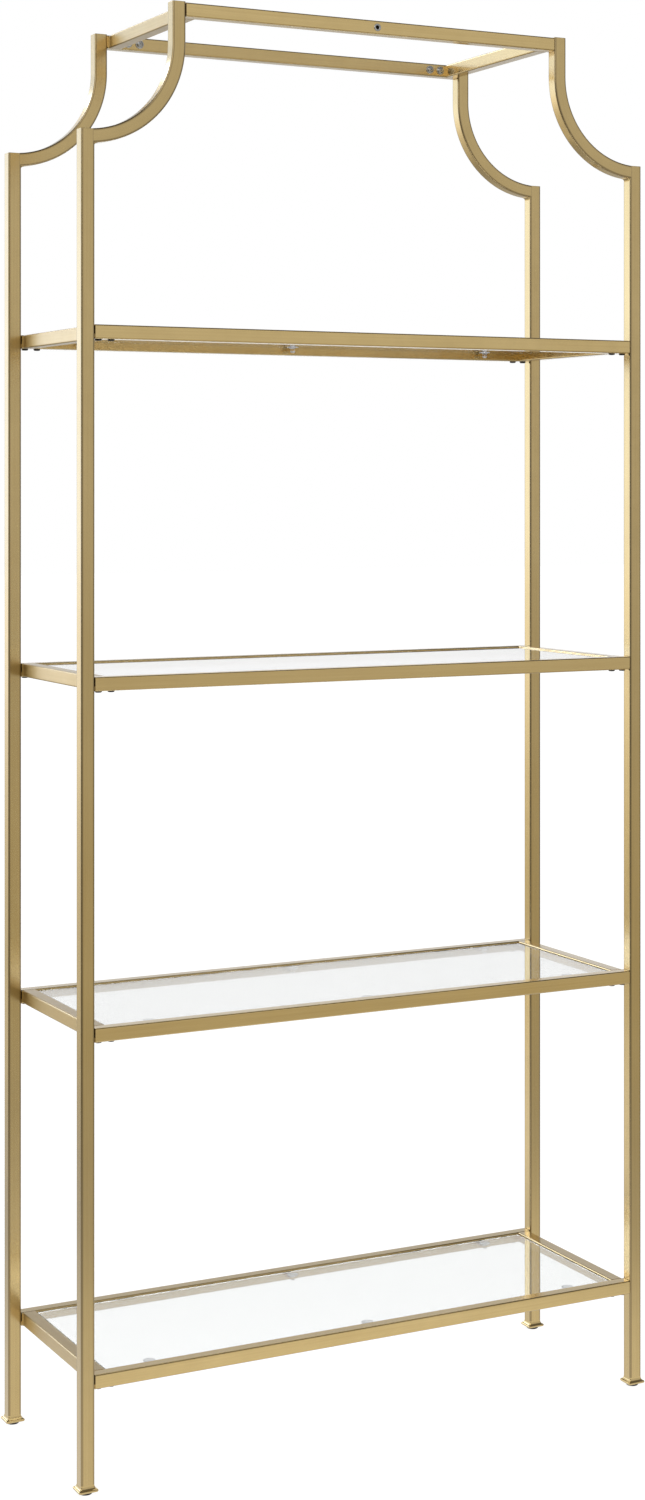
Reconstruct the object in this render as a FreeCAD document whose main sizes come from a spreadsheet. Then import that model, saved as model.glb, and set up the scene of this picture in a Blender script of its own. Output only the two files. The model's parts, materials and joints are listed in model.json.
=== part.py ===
"""Tall etagere: square-tube legs with pagoda arches, framed glass shelves and a top frame.

Frame: millimetres, +Z up, +X to the right seen from the front, front at -Y.
The origin is on the floor, at the middle of the four feet.
"""
import FreeCAD, Part
import os
import Sketcher
from types import SimpleNamespace

SIZES = [
    ("outer_width", 830, "outside of the left posts to outside of the right posts"),
    ("outer_depth", 294, "front of the front posts to back of the back posts"),
    ("tube_size", 18, "side of the square tube"),
    ("tube_wall", 1.2, "wall of the square tube"),
    ("tube_corner", 2, "outside corner radius of the square tube"),
    ("lowest_shelf", 149, "floor to the rails' top, lowest shelf"),
    ("low_bay", 434, "lowest shelf to third shelf"),
    ("middle_bay", 440, "third shelf to second shelf"),
    ("high_bay", 442, "second shelf to highest shelf"),
    ("head_room", 245, "highest shelf to the flat top of a post"),
    ("arch_radius", 125, "centreline radius of an arch"),
    ("arch_inset", 7, "outside of a post to the centre of its arch"),
    ("arch_end", 54, "length of an arch's upright end"),
    ("weld_size", 4, "leg of the weld in the corner under an arch"),
    ("top_drop", 1, "top of the arches to the top of the top frame"),
    ("end_gap", 0.8, "seam between a rail's end and the leg"),
    ("side_inset", 1.6, "end of a long rail to the outside of the side rail"),
    ("glass_thickness", 5, "thickness of a glass pane"),
    ("glass_drop", 2, "rails' top to the top of the glass"),
    ("glass_gap", 1.8, "edge of the glass to the rails"),
    ("glass_bevel", 0.5, "bevel on the edges of the glass"),
    ("bumper_margin", 64.6, "inside of a side rail to the middle of an outer bumper"),
    ("bumper_offset", 12, "inside of a rail to the middle of a bumper"),
    ("cup_diameter", 16, "rim of a suction bumper"),
    ("cup_height", 3, "tab to the underside of the glass"),
    ("nub_diameter", 7, "plug of a bumper in its tab"),
    ("nub_height", 3, "reach of that plug below the tab"),
    ("nub_clearance", 0.1, "plug to the tab's hole, all round"),
    ("tab_length", 12, "length of a tab along its rail"),
    ("tab_depth", 17, "reach of a tab from its rail"),
    ("tab_thickness", 2, "thickness of a tab"),
    ("tongue_length", 32, "reach of a shelf tongue from its post"),
    ("tongue_thickness", 5, "thickness of a tongue"),
    ("tongue_clearance", 0.3, "edge of a tongue to the inside of the rail"),
    ("screw_first", 8, "leg to the first screw of a shelf rail"),
    ("screw_pitch", 17, "first screw to second screw"),
    ("screw_diameter", 4.9, "shank of a screw"),
    ("screw_length", 9, "length of a screw's shank"),
    ("head_diameter", 9, "head of a screw"),
    ("head_height", 2.2, "height of a screw's head"),
    ("tapped_hole", 5, "tapped hole in a tongue"),
    ("screw_hole", 5.5, "screw hole in a rail's wall"),
    ("top_tongue_length", 56, "reach of a top tongue from its arch"),
    ("top_screw_first", 30, "leg to the first screw of a top rail"),
    ("washer_diameter", 12, "washer under a top screw"),
    ("washer_thickness", 1, "thickness of that washer"),
    ("anchor_bore", 5, "threaded bore of a wall anchor insert"),
    ("anchor_barrel", 8, "barrel of the insert"),
    ("anchor_flange", 10, "flange of the insert"),
    ("anchor_flange_height", 0.8, "thickness of that flange"),
    ("anchor_length", 11, "length of the insert behind its flange"),
    ("anchor_clearance", 0.05, "barrel to the hole in the rail, all round"),
    ("cap_thickness", 2, "thickness of a tube plug"),
    ("cap_clearance", 0.1, "edge of a tube plug to the inside of the tube"),
    ("foot_size", 26, "side of a foot's square plate"),
    ("foot_plate", 3.4, "thickness of that plate"),
    ("foot_bevel", 1, "bevel on the edges of that plate"),
    ("foot_flare", 5.6, "height of the coved flare above the plate"),
    ("spigot_height", 14, "reach of a foot into its post"),
    ("spigot_clearance", 0.2, "side of that spigot to the inside of the post"),
    ("glide_diameter", 17, "levelling glide's pad"),
    ("glide_height", 4, "height of that pad"),
    ("glide_bevel", 0.8, "bevel on that pad"),
    ("stem_diameter", 6, "stem of a glide"),
    ("stem_length", 22, "length of that stem"),
    ("stem_clearance", 0.06, "stem to the foot's bore, all round"),
    ("overrun", 5, "reach of a cut past what it cuts"),
]
SHELVES = ["shelf_1", "shelf_2", "shelf_3", "shelf_4"]
SIDES = {"left": -1, "right": 1}
FACES = {"front": -1, "back": 1}
CORNERS = [(face, side) for face in FACES for side in SIDES]

ALONG_X = FreeCAD.Rotation(FreeCAD.Vector(1, 1, 1), 120)
ALONG_Y = FreeCAD.Rotation(FreeCAD.Vector(1, 1, 1), 240)
UPRIGHT = FreeCAD.Rotation()
TURNED = FreeCAD.Rotation(FreeCAD.Vector(0, 0, 1), 180)
POINTING_BACK = FreeCAD.Rotation(FreeCAD.Vector(1, 0, 0), -90)
POINTING_FRONT = FreeCAD.Rotation(FreeCAD.Vector(1, 0, 0), 90)


class Length:
    """A length that carries its value and the expression that ties it to the sheet."""

    def __init__(self, value, text):
        self.value = value
        self.text = text

    def __add__(self, other):
        return Length(self.value + other.value, f"({self.text} + {other.text})")

    def __sub__(self, other):
        return Length(self.value - other.value, f"({self.text} - {other.text})")

    def __mul__(self, factor):
        return Length(self.value * factor, f"({self.text} * {factor})")

    def __truediv__(self, divisor):
        return Length(self.value / divisor, f"({self.text} / {divisor})")

    def __neg__(self):
        return self * -1


doc = FreeCAD.newDocument("etagere")
sheet = doc.addObject("Spreadsheet::Sheet", "Dims")
for row, (alias, value, note) in enumerate(SIZES, start=1):
    sheet.set(f"A{row}", note)
    sheet.set(f"B{row}", str(value))
    sheet.setAlias(f"B{row}", alias)
doc.recompute()

ZERO = Length(0, "0")
d = SimpleNamespace(**{alias: Length(value, f"Dims.{alias}") for alias, value, note in SIZES})
nodes = {}

# Heights that several pieces share
third_shelf = d.lowest_shelf + d.low_bay
second_shelf = third_shelf + d.middle_bay
highest_shelf = second_shelf + d.high_bay
shelf_tops = dict(zip(SHELVES, (highest_shelf, second_shelf, third_shelf, d.lowest_shelf)))
post_top = highest_shelf + d.head_room
arch_centre = post_top + d.arch_radius - d.tube_size / 2
overall_height = arch_centre + d.arch_end
top_middle = overall_height - d.top_drop - d.tube_size / 2
foot_height = d.foot_plate + d.foot_flare

# Widths and depths that several pieces share
rail_length = d.outer_width - d.tube_size * 2 - d.end_gap * 2
top_rail_length = d.outer_width - d.arch_inset * 2 - d.arch_radius * 2 - d.tube_size - d.end_gap * 2
side_length = d.outer_depth - d.tube_size * 2
tube_inside = d.tube_size / 2 - d.tube_wall
leg_x = d.outer_width / 2 - d.tube_size / 2
leg_y = d.outer_depth / 2 - d.tube_size / 2
inner_x = d.outer_width / 2 - d.tube_size
inner_y = d.outer_depth / 2 - d.tube_size
opening_x = rail_length / 2 - d.side_inset - d.tube_size


def bind(item, prop, length):
    item.setExpression(prop, length.text)


def place(item, x, y, z, rotation=UPRIGHT):
    """Puts a piece at a point, and keeps it there when a size changes."""
    item.Placement = FreeCAD.Placement(FreeCAD.Vector(x.value, y.value, z.value), rotation)
    for axis, length in zip("xyz", (x, y, z)):
        bind(item, f".Placement.Base.{axis}", length)


def node(item, label):
    """Names a finished piece, which is written to a file of that name."""
    item.Label = label
    nodes[label] = item


def origin_item(body, role):
    return [item for item in body.Origin.OriginFeatures if item.Role == role][0]


def new_body(label):
    return doc.addObject("PartDesign::Body", label)


def new_sketch(body, name, plane, height=None):
    """A sketch on one of the body's own origin planes, raised by a height if one is given."""
    sketch = body.newObject("Sketcher::SketchObject", name)
    sketch.AttachmentSupport = [(origin_item(body, plane), "")]
    sketch.MapMode = "FlatFace"
    if height:
        sketch.AttachmentOffset = FreeCAD.Placement(FreeCAD.Vector(0, 0, height.value), UPRIGHT)
        bind(sketch, ".AttachmentOffset.Base.z", height)
    return sketch


def dimension(sketch, kind, geometry, end, length):
    """Dimensions a point from the sketch's origin along one axis."""
    index = sketch.addConstraint(Sketcher.Constraint(kind, -1, 1, geometry, end, length.value))
    bind(sketch, f"Constraints[{index}]", length)


def fix_point(sketch, geometry, end, x, y):
    """Ties a point to a place in the sketch, or to the axis it lies on."""
    if x is ZERO:
        sketch.addConstraint(Sketcher.Constraint("PointOnObject", geometry, end, -2))
    else:
        dimension(sketch, "DistanceX", geometry, end, x)
    if y is ZERO:
        sketch.addConstraint(Sketcher.Constraint("PointOnObject", geometry, end, -1))
    else:
        dimension(sketch, "DistanceY", geometry, end, y)


def cove(sketch, start, end):
    """A hollow arc that is upright at its upper end, and which of its ends meet start and end."""
    upper, lower = (start, end) if start.y > end.y else (end, start)
    run = lower.x - upper.x
    rise = upper.y - lower.y
    reach = (run ** 2 + rise ** 2) / (run * 2)
    centre = FreeCAD.Vector(upper.x + reach, upper.y, 0)
    inward = (start + end) / 2 - centre
    middle = centre + inward.normalize() * abs(reach)
    first, last = (upper, lower) if run > 0 else (lower, upper)
    index = sketch.addGeometry(Part.Arc(first, middle, last))
    sketch.addConstraint(Sketcher.Constraint("Horizontal", index, 3, index, 1 if run > 0 else 2))
    return (index, 1, 2) if first is start else (index, 2, 1)


def outline(sketch, points, coves=()):
    """A closed outline with every corner dimensioned: straight lines, and arcs from the corners in coves."""
    corners = [FreeCAD.Vector(x.value, y.value, 0) for x, y in points]
    edges = []
    for index, corner in enumerate(corners):
        after = corners[(index + 1) % len(corners)]
        if index in coves:
            edges.append(cove(sketch, corner, after))
        else:
            edges.append((sketch.addGeometry(Part.LineSegment(corner, after)), 1, 2))
    for index, (edge, start, end) in enumerate(edges):
        after, after_start, after_end = edges[(index + 1) % len(edges)]
        sketch.addConstraint(Sketcher.Constraint("Coincident", edge, end, after, after_start))
    for (edge, start, end), (x, y) in zip(edges, points):
        fix_point(sketch, edge, start, x, y)


def rectangle(sketch, left, right, bottom, top):
    outline(sketch, [(left, bottom), (right, bottom), (right, top), (left, top)])


def square(sketch, half, middle=ZERO):
    rectangle(sketch, middle - half, middle + half, -half, half)


def circle(sketch, x, y, diameter):
    centre = FreeCAD.Vector(x.value, y.value, 0)
    index = sketch.addGeometry(Part.Circle(centre, FreeCAD.Vector(0, 0, 1), diameter.value / 2))
    fix_point(sketch, index, 3, x, y)
    size = sketch.addConstraint(Sketcher.Constraint("Diameter", index, diameter.value))
    bind(sketch, f"Constraints[{size}]", diameter)


def rounded_square(sketch, half, corner, middle=ZERO):
    """A square with round corners, centred on the sketch's X axis."""
    side = half.value
    flat = side - corner.value
    lines = []
    arcs = []
    for cos, sin in ((1, 0), (0, 1), (-1, 0), (0, -1)):
        x = middle.value + cos * side
        y = sin * side
        start = FreeCAD.Vector(x + sin * flat, y - cos * flat, 0)
        end = FreeCAD.Vector(x - sin * flat, y + cos * flat, 0)
        lines.append(sketch.addGeometry(Part.LineSegment(start, end)))
        centre = FreeCAD.Vector(middle.value + (cos - sin) * flat, (sin + cos) * flat, 0)
        outward = FreeCAD.Vector(cos - sin, sin + cos, 0).normalize()
        after = FreeCAD.Vector(middle.value + cos * flat - sin * side, sin * flat + cos * side, 0)
        arcs.append(sketch.addGeometry(Part.Arc(end, centre + outward * corner.value, after)))
    for index in range(4):
        after = lines[(index + 1) % 4]
        level = "Horizontal" if index % 2 else "Vertical"
        sketch.addConstraint(Sketcher.Constraint("Tangent", lines[index], 2, arcs[index], 1))
        sketch.addConstraint(Sketcher.Constraint("Tangent", arcs[index], 2, after, 1))
        sketch.addConstraint(Sketcher.Constraint(level, lines[index]))
        if index:
            sketch.addConstraint(Sketcher.Constraint("Equal", arcs[0], arcs[index]))
    size = sketch.addConstraint(Sketcher.Constraint("Radius", arcs[0], corner.value))
    bind(sketch, f"Constraints[{size}]", corner)
    dimension(sketch, "DistanceX", lines[0], 1, middle + half)
    dimension(sketch, "DistanceX", lines[2], 1, middle - half)
    dimension(sketch, "DistanceY", lines[1], 1, half)
    dimension(sketch, "DistanceY", lines[3], 1, -half)


def tube_section(sketch, middle=ZERO):
    """The wall of the square tube, outside and inside."""
    rounded_square(sketch, d.tube_size / 2, d.tube_corner, middle)
    square(sketch, tube_inside, middle)


def pad(body, sketch, length, both_ways=False, downward=False):
    feature = body.newObject("PartDesign::Pad", sketch.Name + "_pad")
    feature.Profile = sketch
    bind(feature, "Length", length)
    feature.Midplane = both_ways
    feature.Reversed = downward
    return feature


def pocket(body, sketch, length, reverse=False, both_ways=False):
    feature = body.newObject("PartDesign::Pocket", sketch.Name + "_cut")
    feature.Profile = sketch
    bind(feature, "Length", length)
    feature.Reversed = reverse
    feature.Midplane = both_ways


def turn(body, sketch, role, angle=360):
    """Turns a sketch about one of the body's own axes."""
    feature = body.newObject("PartDesign::Revolution", sketch.Name + "_turn")
    feature.Profile = sketch
    feature.ReferenceAxis = (origin_item(body, role), [""])
    feature.Angle = angle


def turned_piece(label, profile):
    """A body turned about its Z axis from a profile of radius and height."""
    body = new_body(label)
    sketch = new_sketch(body, label + "_profile", "XZ_Plane")
    outline(sketch, profile)
    turn(body, sketch, "Z_Axis")
    return body


def straight_tube(label, length):
    """A length of square tube along the body's Z axis, centred on it."""
    body = new_body(label)
    section = new_sketch(body, label + "_section", "XY_Plane")
    tube_section(section)
    pad(body, section, length)
    return body


def group(label, copies):
    """One piece made of copies of small bodies, each with its own place."""
    links = []
    for index, (master, x, y, z, rotation) in enumerate(copies, start=1):
        link = doc.addObject("App::Link", f"{label}_{index}")
        link.LinkedObject = master
        place(link, x, y, z, rotation)
        links.append(link)
    compound = doc.addObject("Part::Compound", label)
    compound.Links = links
    node(compound, label)


# Legs


def make_post(face, side):
    label = f"post_{face}_{side}"
    body = straight_tube(label, post_top - d.glide_height - foot_height)
    place(body, leg_x * SIDES[side], leg_y * FACES[face], d.glide_height + foot_height)
    node(body, label)


def make_arch(face, side):
    """A quarter circle of tube cut to the post's inner face, with an upright end and a weld."""
    label = f"arch_{face}_{side}"
    body = new_body(label)
    section = new_sketch(body, label + "_section", "XY_Plane")
    tube_section(section, d.arch_radius)
    pad(body, section, d.arch_end)
    turn(body, section, "Y_Axis", 90)
    post_face = d.tube_size - d.arch_inset
    under = d.arch_radius + d.tube_size / 2
    trim = new_sketch(body, label + "_trim", "XZ_Plane")
    rectangle(trim, -d.overrun, post_face, -under - d.overrun, d.tube_size - under + d.overrun)
    pocket(body, trim, d.tube_size + d.overrun * 2, both_ways=True)
    weld = new_sketch(body, label + "_weld", "XZ_Plane")
    seat = d.tube_wall - under
    outline(weld, [(post_face, -under - d.weld_size), (post_face + d.weld_size, seat), (post_face, seat)])
    pad(body, weld, d.tube_size - d.tube_corner * 2, both_ways=True)
    x = (d.outer_width / 2 - d.arch_inset) * SIDES[side]
    place(body, x, leg_y * FACES[face], arch_centre, UPRIGHT if side == "left" else TURNED)
    node(body, label)


def foot_edge(toward):
    """One side of a foot's profile, from the floor up: a bevelled plate and the corners of its cove."""
    half = d.foot_size / 2
    edge = [
        (half - d.foot_bevel, ZERO),
        (half, d.foot_bevel),
        (half, d.foot_plate - d.foot_bevel),
        (half - d.foot_bevel, d.foot_plate),
        (d.tube_size / 2, foot_height),
    ]
    return [(x * toward, y) for x, y in edge]


def make_foot(face, side):
    """A square plate coved up to the post on all sides, with a spigot inside the tube and a glide's bore."""
    label = f"foot_{face}_{side}"
    body = new_body(label)
    profile = new_sketch(body, label + "_profile", "XZ_Plane")
    outline(profile, foot_edge(1) + foot_edge(-1)[::-1], coves=(3, 5))
    pad(body, profile, d.foot_size, both_ways=True)
    sides = new_sketch(body, label + "_sides", "YZ_Plane")
    reach = d.foot_size / 2 + d.overrun
    above = foot_height + d.overrun
    for toward in (1, -1):
        edge = foot_edge(toward)
        outside = [
            (d.tube_size / 2 * toward, above),
            (reach * toward, above),
            (reach * toward, -d.overrun),
            ((d.foot_size / 2 - d.foot_bevel) * toward, -d.overrun),
        ]
        outline(sides, edge + outside, coves=(3,))
    pocket(body, sides, d.foot_size + d.overrun * 2, both_ways=True)
    spigot = new_sketch(body, label + "_spigot", "XY_Plane", foot_height)
    square(spigot, tube_inside - d.spigot_clearance)
    pad(body, spigot, d.spigot_height)
    bore = new_sketch(body, label + "_bore", "XY_Plane")
    circle(bore, ZERO, ZERO, d.stem_diameter + d.stem_clearance * 2)
    pocket(body, bore, foot_height + d.spigot_height + d.overrun, reverse=True)
    place(body, leg_x * SIDES[side], leg_y * FACES[face], d.glide_height)
    node(body, label)


def make_glide(face, side):
    label = f"glide_{face}_{side}"
    radius = d.glide_diameter / 2
    profile = [
        (ZERO, ZERO),
        (radius - d.glide_bevel, ZERO),
        (radius, d.glide_bevel),
        (radius, d.glide_height),
        (d.stem_diameter / 2, d.glide_height),
        (d.stem_diameter / 2, d.glide_height + d.stem_length),
        (ZERO, d.glide_height + d.stem_length),
    ]
    body = turned_piece(label, profile)
    place(body, leg_x * SIDES[side], leg_y * FACES[face], ZERO)
    node(body, label)


# Small bodies that are copied into groups


def make_shelf_tongue():
    """A flat bar with two tapped holes: its welded end is at X = 0 and it lies on Z = 0."""
    body = new_body("shelf_tongue")
    plate = new_sketch(body, "shelf_tongue_plate", "XY_Plane")
    half = tube_inside - d.tongue_clearance
    rectangle(plate, ZERO, d.tongue_length, -half, half)
    circle(plate, d.screw_first, ZERO, d.tapped_hole)
    circle(plate, d.screw_first + d.screw_pitch, ZERO, d.tapped_hole)
    pad(body, plate, d.tongue_thickness)
    return body


def make_top_tongue():
    """The longer bar of the top frame, on edge, with its tapped holes across."""
    body = new_body("top_tongue")
    plate = new_sketch(body, "top_tongue_plate", "XZ_Plane")
    half = tube_inside - d.tongue_clearance
    rectangle(plate, ZERO, d.top_tongue_length, -half, half)
    circle(plate, d.top_screw_first, ZERO, d.tapped_hole)
    circle(plate, d.top_screw_first + d.screw_pitch, ZERO, d.tapped_hole)
    pad(body, plate, d.tongue_thickness, both_ways=True)
    return body


def make_screw():
    """A low-headed screw: the shank points up from Z = 0 and the head is below."""
    shank = d.screw_diameter / 2
    head = d.head_diameter / 2
    profile = [
        (ZERO, -d.head_height),
        (head, -d.head_height),
        (head, ZERO),
        (shank, ZERO),
        (shank, d.screw_length),
        (ZERO, d.screw_length),
    ]
    return turned_piece("screw", profile)


def make_washer():
    inside = d.screw_hole / 2
    outside = d.washer_diameter / 2
    profile = [
        (inside, ZERO),
        (outside, ZERO),
        (outside, d.washer_thickness),
        (inside, d.washer_thickness),
    ]
    return turned_piece("washer", profile)


def make_bumper():
    """A suction bumper: the cup flares up from the tab at Z = 0 and its plug runs down through it."""
    nub = d.nub_diameter / 2
    cup = d.cup_diameter / 2
    foot = -d.tab_thickness - d.nub_height
    profile = [
        (ZERO, foot),
        (nub, foot),
        (nub, ZERO),
        (cup, d.cup_height),
        (ZERO, d.cup_height),
    ]
    return turned_piece("bumper", profile)


def make_tab():
    """A welded tab: its edge is on the rail at Y = 0 and its top at Z = 0."""
    body = new_body("glass_tab")
    plate = new_sketch(body, "glass_tab_plate", "XY_Plane")
    rectangle(plate, -d.tab_length / 2, d.tab_length / 2, -d.tab_depth, ZERO)
    circle(plate, ZERO, -d.bumper_offset, d.nub_diameter + d.nub_clearance * 2)
    pad(body, plate, d.tab_thickness, downward=True)
    return body


def make_cap():
    """A plug whose top is at Z = 0."""
    body = new_body("tube_cap")
    plate = new_sketch(body, "tube_cap_plate", "XY_Plane")
    square(plate, tube_inside - d.cap_clearance)
    pad(body, plate, d.cap_thickness, downward=True)
    return body


def make_anchor():
    """A threaded insert: its flange sits on the rail at Z = 0 and its barrel runs up into the tube."""
    bore = d.anchor_bore / 2
    barrel = d.anchor_barrel / 2
    flange = d.anchor_flange / 2
    profile = [
        (bore, -d.anchor_flange_height),
        (flange, -d.anchor_flange_height),
        (flange, ZERO),
        (barrel, ZERO),
        (barrel, d.anchor_length),
        (bore, d.anchor_length),
    ]
    return turned_piece("wall_anchor", profile)


# Frames


def screw_holes(body, label, plane, length, from_end, reverse):
    """Two holes through one wall at each end of a rail."""
    holes = new_sketch(body, label + "_holes", plane)
    for along in (from_end, from_end + d.screw_pitch):
        circle(holes, ZERO, along, d.screw_hole)
        circle(holes, ZERO, length - along, d.screw_hole)
    pocket(body, holes, d.tube_size, reverse=reverse)


def side_rails(name, long_rail, middle):
    """The left and right rails of a frame, between its long rails."""
    x = long_rail / 2 - d.side_inset - d.tube_size / 2
    for side, toward in SIDES.items():
        label = f"{name}_{side}_rail"
        body = straight_tube(label, side_length)
        place(body, x * toward, -side_length / 2, middle, ALONG_Y)
        node(body, label)


def make_glass(shelf):
    """A pane with bevelled edges that stands on the bumpers."""
    label = f"{shelf}_glass"
    body = new_body(label)
    half_width = opening_x - d.glass_gap
    half_depth = side_length / 2 - d.glass_gap
    pane = new_sketch(body, label + "_pane", "XY_Plane")
    rectangle(pane, -half_width, half_width, -half_depth, half_depth)
    block = pad(body, pane, d.glass_thickness)
    doc.recompute()
    bevel = body.newObject("PartDesign::Chamfer", label + "_bevel")
    bevel.Base = (block, ["Face5", "Face6"])
    bind(bevel, "Size", d.glass_bevel)
    place(body, ZERO, ZERO, shelf_tops[shelf] - d.glass_drop - d.glass_thickness)
    node(body, label)


def make_shelf(shelf, tab, bumper, screw):
    """Four rails, the glass between them, and what carries and fastens it."""
    top = shelf_tops[shelf]
    middle = top - d.tube_size / 2
    tab_top = top - d.glass_drop - d.glass_thickness - d.cup_height
    for face, toward in FACES.items():
        label = f"{shelf}_{face}_rail"
        body = straight_tube(label, rail_length)
        screw_holes(body, label, "XZ_Plane", rail_length, d.screw_first - d.end_gap, True)
        place(body, -rail_length / 2, leg_y * toward, middle, ALONG_X)
        node(body, label)
    side_rails(shelf, rail_length, middle)
    make_glass(shelf)
    tabs = []
    bumpers = []
    screws = []
    for face, toward in FACES.items():
        rotation = UPRIGHT if face == "back" else TURNED
        for step in (-1, 0, 1):
            x = (opening_x - d.bumper_margin) * step
            tabs.append((tab, x, inner_y * toward, tab_top, rotation))
            bumpers.append((bumper, x, (inner_y - d.bumper_offset) * toward, tab_top, UPRIGHT))
        for end in SIDES.values():
            for reach in (d.screw_first, d.screw_first + d.screw_pitch):
                screws.append((screw, (inner_x - reach) * end, leg_y * toward, top - d.tube_size, UPRIGHT))
    group(f"{shelf}_glass_tabs", tabs)
    group(f"{shelf}_bumpers", bumpers)
    group(f"{shelf}_screws", screws)


def make_top_frame():
    """Four rails between the arch tops, screwed to their tongues from the inner side."""
    for face, toward in FACES.items():
        label = f"top_{face}_rail"
        body = straight_tube(label, top_rail_length)
        from_end = d.top_screw_first - d.end_gap
        screw_holes(body, label, "YZ_Plane", top_rail_length, from_end, face == "front")
        insert = new_sketch(body, label + "_insert", "YZ_Plane")
        circle(insert, ZERO, top_rail_length / 2, d.anchor_barrel + d.anchor_clearance * 2)
        pocket(body, insert, d.tube_size, reverse=(face == "back"))
        place(body, -top_rail_length / 2, leg_y * toward, top_middle, ALONG_X)
        node(body, label)
    side_rails("top", top_rail_length, top_middle)


def make_top_fasteners(screw, washer, anchor):
    screws = []
    anchors = []
    for face, toward in FACES.items():
        outward = POINTING_BACK if face == "back" else POINTING_FRONT
        inward = POINTING_FRONT if face == "back" else POINTING_BACK
        head_y = (inner_y - d.washer_thickness) * toward
        for end in SIDES.values():
            for reach in (d.top_screw_first, d.top_screw_first + d.screw_pitch):
                x = (top_rail_length / 2 + d.end_gap - reach) * end
                screws.append((screw, x, head_y, top_middle, outward))
                screws.append((washer, x, head_y, top_middle, outward))
        anchors.append((anchor, ZERO, d.outer_depth / 2 * toward, top_middle, inward))
    group("top_screws", screws)
    group("wall_anchors", anchors)


def make_tongues(face, side, shelf_tongue, top_tongue):
    """The five tongues of one leg: one for each shelf and one for the top frame."""
    rotation = UPRIGHT if side == "left" else TURNED
    copies = []
    for top in shelf_tops.values():
        z = top - d.tube_size + d.tube_wall
        copies.append((shelf_tongue, inner_x * SIDES[side], leg_y * FACES[face], z, rotation))
    x = (top_rail_length / 2 + d.end_gap) * SIDES[side]
    y = (inner_y + d.tube_wall + d.tongue_thickness / 2) * FACES[face]
    copies.append((top_tongue, x, y, top_middle, rotation))
    group(f"tongues_{face}_{side}", copies)


def make_caps(cap):
    copies = []
    arch_x = d.outer_width / 2 - d.arch_inset - d.arch_radius
    for face, side in CORNERS:
        y = leg_y * FACES[face]
        copies.append((cap, leg_x * SIDES[side], y, post_top, UPRIGHT))
        copies.append((cap, arch_x * SIDES[side], y, overall_height, UPRIGHT))
    group("tube_caps", copies)


def write_nodes():
    """Stops on a failed feature or a bad solid, then writes one file for each piece."""
    for item in doc.Objects:
        if "Invalid" in item.State or "Error" in item.State:
            raise RuntimeError(f"{item.Name} failed: {item.State}")
    for label, item in nodes.items():
        shape = item.Shape
        if shape.isNull() or not shape.isValid() or not shape.Solids:
            raise RuntimeError(f"{label} has no valid solid")
    os.makedirs("parts", exist_ok=True)
    for label, item in nodes.items():
        item.Shape.exportStep(f"parts/{label}.step")
        box = item.Shape.BoundBox
        low = tuple(round(value, 2) for value in (box.XMin, box.YMin, box.ZMin))
        high = tuple(round(value, 2) for value in (box.XMax, box.YMax, box.ZMax))
        print(label, len(item.Shape.Solids), round(item.Shape.Volume, 1), low, high)


for face, side in CORNERS:
    make_post(face, side)
    make_arch(face, side)
    make_foot(face, side)
    make_glide(face, side)
screw = make_screw()
tab = make_tab()
bumper = make_bumper()
for shelf in SHELVES:
    make_shelf(shelf, tab, bumper, screw)
make_top_frame()
make_top_fasteners(screw, make_washer(), make_anchor())
shelf_tongue = make_shelf_tongue()
top_tongue = make_top_tongue()
for face, side in CORNERS:
    make_tongues(face, side, shelf_tongue, top_tongue)
make_caps(make_cap())
doc.recompute()
write_nodes()
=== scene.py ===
"""The finish, light and camera of a tall gold etagere with four glass shelves."""
import json
import math

import bmesh
import bpy
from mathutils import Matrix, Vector


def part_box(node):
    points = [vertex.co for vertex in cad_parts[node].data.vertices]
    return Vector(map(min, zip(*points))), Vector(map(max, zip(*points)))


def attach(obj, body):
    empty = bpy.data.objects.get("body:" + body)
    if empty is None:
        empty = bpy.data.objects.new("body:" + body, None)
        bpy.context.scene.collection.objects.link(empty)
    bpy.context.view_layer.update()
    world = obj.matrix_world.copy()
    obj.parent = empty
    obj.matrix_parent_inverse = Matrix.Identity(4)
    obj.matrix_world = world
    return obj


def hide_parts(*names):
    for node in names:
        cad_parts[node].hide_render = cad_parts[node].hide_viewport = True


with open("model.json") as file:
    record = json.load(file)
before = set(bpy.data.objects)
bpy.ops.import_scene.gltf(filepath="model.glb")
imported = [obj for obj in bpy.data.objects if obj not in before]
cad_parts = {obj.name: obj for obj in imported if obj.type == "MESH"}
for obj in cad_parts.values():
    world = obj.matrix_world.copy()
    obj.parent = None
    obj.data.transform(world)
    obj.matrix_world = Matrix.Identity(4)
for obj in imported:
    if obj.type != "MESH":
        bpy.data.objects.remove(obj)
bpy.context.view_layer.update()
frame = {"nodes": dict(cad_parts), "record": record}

# Corners and levels of the frame, as the names of its nodes have them
CORNERS = [f"{face}_{side}" for face in ("front", "back") for side in ("left", "right")]
SHELVES = ("shelf_1", "shelf_2", "shelf_3", "shelf_4")
LEVELS = ("top", *SHELVES)

# Camera as fitted to the photograph: metres, degrees, and millimetres for the lens
CAMERA_PLACE = (-1.551, -3.185, 1.268)
CAMERA_YAW = 28.66
CAMERA_LENS = 61.73
CAMERA_SENSOR = 36.0
CAMERA_SHIFT = (-0.085, -0.179)


def add_camera():
    """A level camera with a shifted lens, so that uprights stay upright."""
    data = bpy.data.cameras.new("camera")
    data.lens = CAMERA_LENS
    data.sensor_width = CAMERA_SENSOR
    data.shift_x, data.shift_y = CAMERA_SHIFT
    camera = bpy.data.objects.new("camera", data)
    camera.location = CAMERA_PLACE
    camera.rotation_euler = (math.radians(90), 0, math.radians(-CAMERA_YAW))
    bpy.context.scene.collection.objects.link(camera)
    bpy.context.scene.camera = camera


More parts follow.
